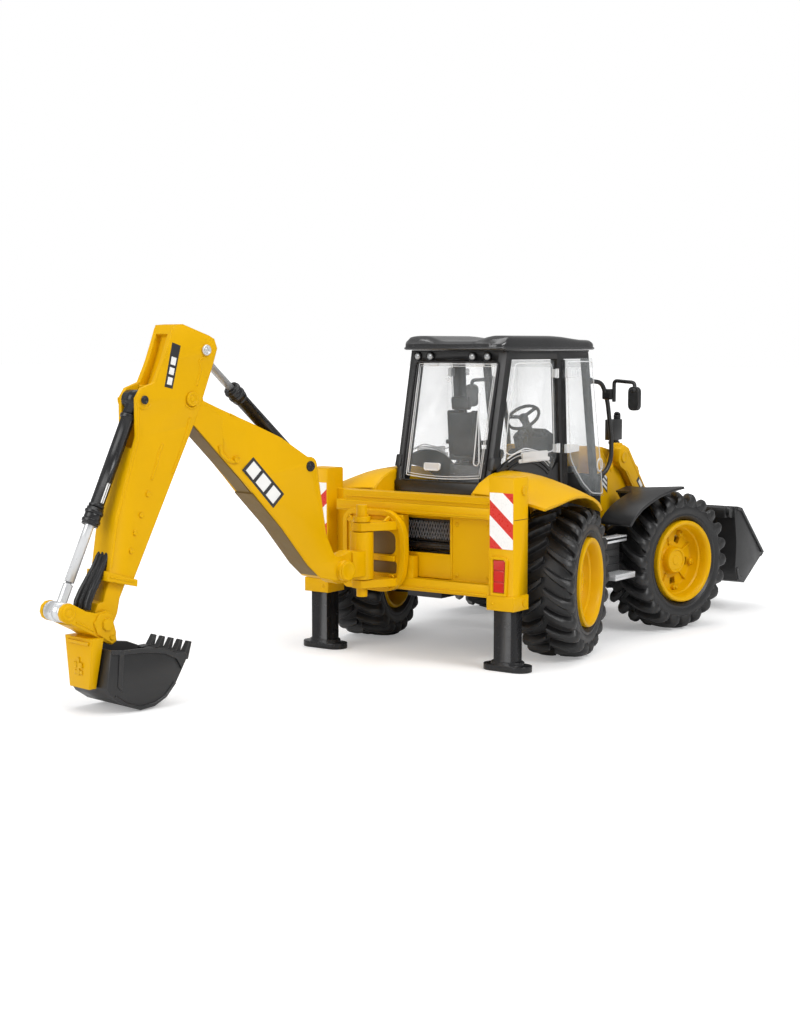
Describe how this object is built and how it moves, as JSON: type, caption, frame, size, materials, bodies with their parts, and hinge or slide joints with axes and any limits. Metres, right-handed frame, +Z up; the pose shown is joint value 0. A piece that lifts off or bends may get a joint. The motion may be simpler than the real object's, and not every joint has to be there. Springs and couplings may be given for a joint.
{
  "type": "toy backhoe loader",
  "caption": "Wheeled toy backhoe loader: all-wheel steering, sliding stabilisers, side-shifting slewing digging arm with telescopic dipper, front loader, glazed cab with opening doors.",
  "frame": {"origin": "centre of the footprint box, on the ground", "axes": "+X towards the front loader, +Y to the machine's left, +Z up"},
  "size_m": [0.573, 0.1992, 0.2004],
  "materials": {
    "yellow_plastic": "satin moulded",
    "black_plastic": "fine textured moulded",
    "tyre_rubber": "moulded soft rubber",
    "silver_plastic": "silver pigmented",
    "clear_plastic": "clear",
    "grey_plastic": "moulded"
  },
  "bodies": {
    "base": {"chassis_frame": "black_plastic", "rear_frame": "yellow_plastic", "rear_grille": "black_plastic", "rear_body_shell": "yellow_plastic", "cab_frame": "black_plastic", "cab_roof": "black_plastic", "windscreen": "clear_plastic", "side_window_left": "clear_plastic", "side_window_right": "clear_plastic", "dashboard": "black_plastic", "engine_block": "grey_plastic", "exhaust_stack": "black_plastic", "loader_tower_left": "yellow_plastic", "loader_tower_right": "yellow_plastic", "steps_left": "silver_plastic", "steps_right": "silver_plastic", "grab_rail_left": "black_plastic", "grab_rail_right": "black_plastic"},
    "knuckle_front_left": {"knuckle_front_left": "black_plastic", "front_fender_left": "black_plastic"},
    "wheel_front_left": {"rim_front_left": "yellow_plastic", "tyre_front_left": "tyre_rubber"},
    "knuckle_front_right": {"knuckle_front_right": "black_plastic", "front_fender_right": "black_plastic"},
    "wheel_front_right": {"rim_front_right": "yellow_plastic", "tyre_front_right": "tyre_rubber"},
    "knuckle_rear_left": {"knuckle_rear_left": "black_plastic"},
    "wheel_rear_left": {"rim_rear_left": "yellow_plastic", "tyre_rear_left": "tyre_rubber"},
    "knuckle_rear_right": {"knuckle_rear_right": "black_plastic"},
    "wheel_rear_right": {"rim_rear_right": "yellow_plastic", "tyre_rear_right": "tyre_rubber"},
    "steering_wheel": {"steering_wheel": "black_plastic"},
    "stabiliser_leg_left": {"stabiliser_leg_left": "black_plastic"},
    "stabiliser_leg_right": {"stabiliser_leg_right": "black_plastic"},
    "side_shift_carriage": {"side_shift_carriage": "yellow_plastic"},
    "swing_post": {"swing_post": "yellow_plastic"},
    "boom": {"boom": "yellow_plastic"},
    "dipper": {"dipper": "yellow_plastic"},
    "dipper_extension": {"dipper_extension": "yellow_plastic"},
    "backhoe_bucket": {"backhoe_bucket": "black_plastic", "bucket_hitch": "yellow_plastic"},
    "dipper_cylinder_barrel": {"dipper_cylinder_barrel": "black_plastic"},
    "dipper_cylinder_rod": {"dipper_cylinder_rod": "silver_plastic"},
    "bucket_cylinder_barrel": {"bucket_cylinder_barrel": "black_plastic"},
    "bucket_cylinder_tube": {"bucket_cylinder_tube": "silver_plastic"},
    "bucket_cylinder_rod": {"bucket_cylinder_rod": "silver_plastic"},
    "loader_arms": {"loader_arms": "yellow_plastic"},
    "front_bucket": {"front_bucket": "black_plastic"},
    "lift_barrel_left": {"lift_barrel_left": "black_plastic"},
    "lift_rod_left": {"lift_rod_left": "silver_plastic"},
    "lift_barrel_right": {"lift_barrel_right": "black_plastic"},
    "lift_rod_right": {"lift_rod_right": "silver_plastic"},
    "door_left": {"door_left": "clear_plastic"},
    "mirror_left": {"mirror_left": "black_plastic"},
    "door_right": {"door_right": "clear_plastic"},
    "mirror_right": {"mirror_right": "black_plastic"},
    "rear_window": {"rear_window": "clear_plastic"},
    "seat": {"seat": "black_plastic"},
    "bonnet": {"bonnet": "yellow_plastic"}
  },
  "joints": [
    {"name": "steer_front_left", "type": "hinge", "parent": "base", "child": "knuckle_front_left", "pos_m": [0.15926, 0.0605, 0.046], "axis": [0, 0, 1], "range_deg": [0, 28.4]},
    {"name": "roll_front_left", "type": "hinge", "parent": "knuckle_front_left", "child": "wheel_front_left", "pos_m": [0.16123, 0.06826, 0.046], "axis": [0.2453, 0.9694, 0], "continuous": true},
    {"name": "steer_front_right", "type": "hinge", "parent": "base", "child": "knuckle_front_right", "pos_m": [0.15926, -0.0635, 0.046], "axis": [0, 0, 1], "range_deg": [0, 28.4]},
    {"name": "roll_front_right", "type": "hinge", "parent": "knuckle_front_right", "child": "wheel_front_right", "pos_m": [0.1573, -0.07125, 0.046], "axis": [0.2453, 0.9694, 0], "continuous": true},
    {"name": "steer_rear_left", "type": "hinge", "parent": "base", "child": "knuckle_rear_left", "pos_m": [0.02036, 0.0605, 0.046], "axis": [0, 0, 1], "range_deg": [-28.4, 0]},
    {"name": "roll_rear_left", "type": "hinge", "parent": "knuckle_rear_left", "child": "wheel_rear_left", "pos_m": [0.0184, 0.06826, 0.046], "axis": [-0.2453, 0.9694, 0], "continuous": true},
    {"name": "steer_rear_right", "type": "hinge", "parent": "base", "child": "knuckle_rear_right", "pos_m": [0.02036, -0.0635, 0.046], "axis": [0, 0, 1], "range_deg": [-28.4, 0]},
    {"name": "roll_rear_right", "type": "hinge", "parent": "knuckle_rear_right", "child": "wheel_rear_right", "pos_m": [0.02233, -0.07125, 0.046], "axis": [-0.2453, 0.9694, 0], "continuous": true},
    {"name": "turn_steering_wheel", "type": "hinge", "parent": "base", "child": "steering_wheel", "pos_m": [0.08796, -0.0015, 0.142], "axis": [-0.6606, 0, 0.7507], "range_deg": [0, 113.6]},
    {"name": "raise_stabiliser_left", "type": "slide", "parent": "base", "child": "stabiliser_leg_left", "axis": [0, 0, 1], "range_m": [0, 0.028]},
    {"name": "raise_stabiliser_right", "type": "slide", "parent": "base", "child": "stabiliser_leg_right", "axis": [0, 0, 1], "range_m": [0, 0.028]},
    {"name": "side_shift", "type": "slide", "parent": "base", "child": "side_shift_carriage", "axis": [0, 1, 0], "range_m": [-0.044, 0.007]},
    {"name": "slew", "type": "hinge", "parent": "side_shift_carriage", "child": "swing_post", "pos_m": [-0.06804, 0.0145, 0.065], "axis": [0, 0, 1], "range_deg": [-81, 99]},
    {"name": "boom_lift", "type": "hinge", "parent": "swing_post", "child": "boom", "pos_m": [-0.09046, 0.01805, 0.0584], "axis": [0.1564, 0.9877, 0], "range_deg": [-30, 38]},
    {"name": "dipper_swing", "type": "hinge", "parent": "boom", "child": "dipper", "pos_m": [-0.19989, 0.03539, 0.1608], "axis": [0.1564, 0.9877, 0], "range_deg": [-25, 36]},
    {"name": "dipper_extend", "type": "slide", "parent": "dipper", "child": "dipper_extension", "axis": [-0.4476, 0.0709, -0.8914], "range_m": [0, 0.03]},
    {"name": "bucket_curl", "type": "hinge", "parent": "dipper_extension", "child": "backhoe_bucket", "pos_m": [-0.25728, 0.04448, 0.0465], "axis": [0.1564, 0.9877, 0], "range_deg": [-35, 28]},
    {"name": "dipper_cylinder_tilt", "type": "hinge", "parent": "boom", "child": "dipper_cylinder_barrel", "pos_m": [-0.11594, 0.02209, 0.1207], "axis": [0.1564, 0.9877, 0], "range_deg": [-1.53, 2.18]},
    {"name": "dipper_cylinder_stroke", "type": "slide", "parent": "dipper_cylinder_barrel", "child": "dipper_cylinder_rod", "axis": [-0.7419, 0.1175, 0.6601], "range_m": [-0.01664, 0.01157]},
    {"name": "bucket_cylinder_tilt", "type": "hinge", "parent": "dipper", "child": "bucket_cylinder_barrel", "pos_m": [-0.23081, 0.04028, 0.161], "axis": [0.1564, 0.9877, 0], "range_deg": [-1.23, 0.99]},
    {"name": "bucket_cylinder_stroke", "type": "slide", "parent": "bucket_cylinder_barrel", "child": "bucket_cylinder_tube", "axis": [-0.4177, 0.0662, -0.9062], "range_m": [-0.01138, 0.01421]},
    {"name": "bucket_cylinder_reach", "type": "slide", "parent": "bucket_cylinder_tube", "child": "bucket_cylinder_rod", "axis": [-0.4177, 0.0662, -0.9062], "range_m": [-0.00005, 0.03005]},
    {"name": "loader_lift", "type": "hinge", "parent": "base", "child": "loader_arms", "pos_m": [0.15296, -0.0015, 0.114], "axis": [0, -1, 0], "range_deg": [-5, 36]},
    {"name": "loader_tip", "type": "hinge", "parent": "loader_arms", "child": "front_bucket", "pos_m": [0.23196, -0.0015, 0.059], "axis": [0, -1, 0], "range_deg": [-42, 5]},
    {"name": "lift_cylinder_tilt_left", "type": "hinge", "parent": "base", "child": "lift_barrel_left", "pos_m": [0.13796, 0.0364, 0.066], "axis": [0, -1, 0], "range_deg": [-2.44, 17.29]},
    {"name": "lift_cylinder_stroke_left", "type": "slide", "parent": "lift_barrel_left", "child": "lift_rod_left", "axis": [0.9701, 0, 0.2425], "range_m": [-0.0035, 0.02492]},
    {"name": "lift_cylinder_tilt_right", "type": "hinge", "parent": "base", "child": "lift_barrel_right", "pos_m": [0.13796, -0.0394, 0.066], "axis": [0, -1, 0], "range_deg": [-2.44, 17.29]},
    {"name": "lift_cylinder_stroke_right", "type": "slide", "parent": "lift_barrel_right", "child": "lift_rod_right", "axis": [0.9701, 0, 0.2425], "range_m": [-0.0035, 0.02492]},
    {"name": "open_door_left", "type": "hinge", "parent": "base", "child": "door_left", "pos_m": [0.06996, 0.0402, 0.14], "axis": [0, 0, 1], "range_deg": [0, 75]},
    {"name": "fold_mirror_left", "type": "hinge", "parent": "base", "child": "mirror_left", "pos_m": [0.12596, 0.0453, 0.158], "axis": [0, 0, 1], "range_deg": [0, 60]},
    {"name": "open_door_right", "type": "hinge", "parent": "base", "child": "door_right", "pos_m": [0.06996, -0.0432, 0.14], "axis": [0, 0, -1], "range_deg": [0, 75]},
    {"name": "fold_mirror_right", "type": "hinge", "parent": "base", "child": "mirror_right", "pos_m": [0.12596, -0.0483, 0.158], "axis": [0, 0, -1], "range_deg": [0, 60]},
    {"name": "open_rear_window", "type": "hinge", "parent": "base", "child": "rear_window", "pos_m": [0.00956, -0.0015, 0.1776], "axis": [0, 1, 0], "range_deg": [0, 50]},
    {"name": "turn_seat", "type": "hinge", "parent": "base", "child": "seat", "pos_m": [0.03196, -0.0015, 0.115], "axis": [0, 0, 1], "range_deg": [0, 180]},
    {"name": "open_bonnet", "type": "hinge", "parent": "base", "child": "bonnet", "pos_m": [0.12456, -0.0015, 0.1195], "axis": [0, -1, 0], "range_deg": [0, 50]}
  ],
  "couplings": [
    {"joint": "steer_front_right", "follows": "steer_front_left", "ratio": 1},
    {"joint": "steer_rear_left", "follows": "steer_front_left", "ratio": -1},
    {"joint": "steer_rear_right", "follows": "steer_front_left", "ratio": -1},
    {"joint": "turn_steering_wheel", "follows": "steer_front_left", "ratio": 4},
    {"joint": "dipper_cylinder_tilt", "follows": "dipper_swing", "ratio": 0.0592},
    {"joint": "dipper_cylinder_stroke", "follows": "dipper_swing", "m_per_rad": -0.02641},
    {"joint": "bucket_cylinder_tilt", "follows": "bucket_curl", "ratio": 0.0336},
    {"joint": "bucket_cylinder_stroke", "follows": "bucket_curl", "m_per_rad": -0.02318},
    {"joint": "bucket_cylinder_reach", "follows": "dipper_extend", "ratio": 1},
    {"joint": "lift_cylinder_tilt_left", "follows": "loader_lift", "ratio": 0.4788},
    {"joint": "lift_cylinder_stroke_left", "follows": "loader_lift", "m_per_rad": 0.03958},
    {"joint": "lift_cylinder_tilt_right", "follows": "loader_lift", "ratio": 0.4788},
    {"joint": "lift_cylinder_stroke_right", "follows": "loader_lift", "m_per_rad": 0.03958}
  ]
}
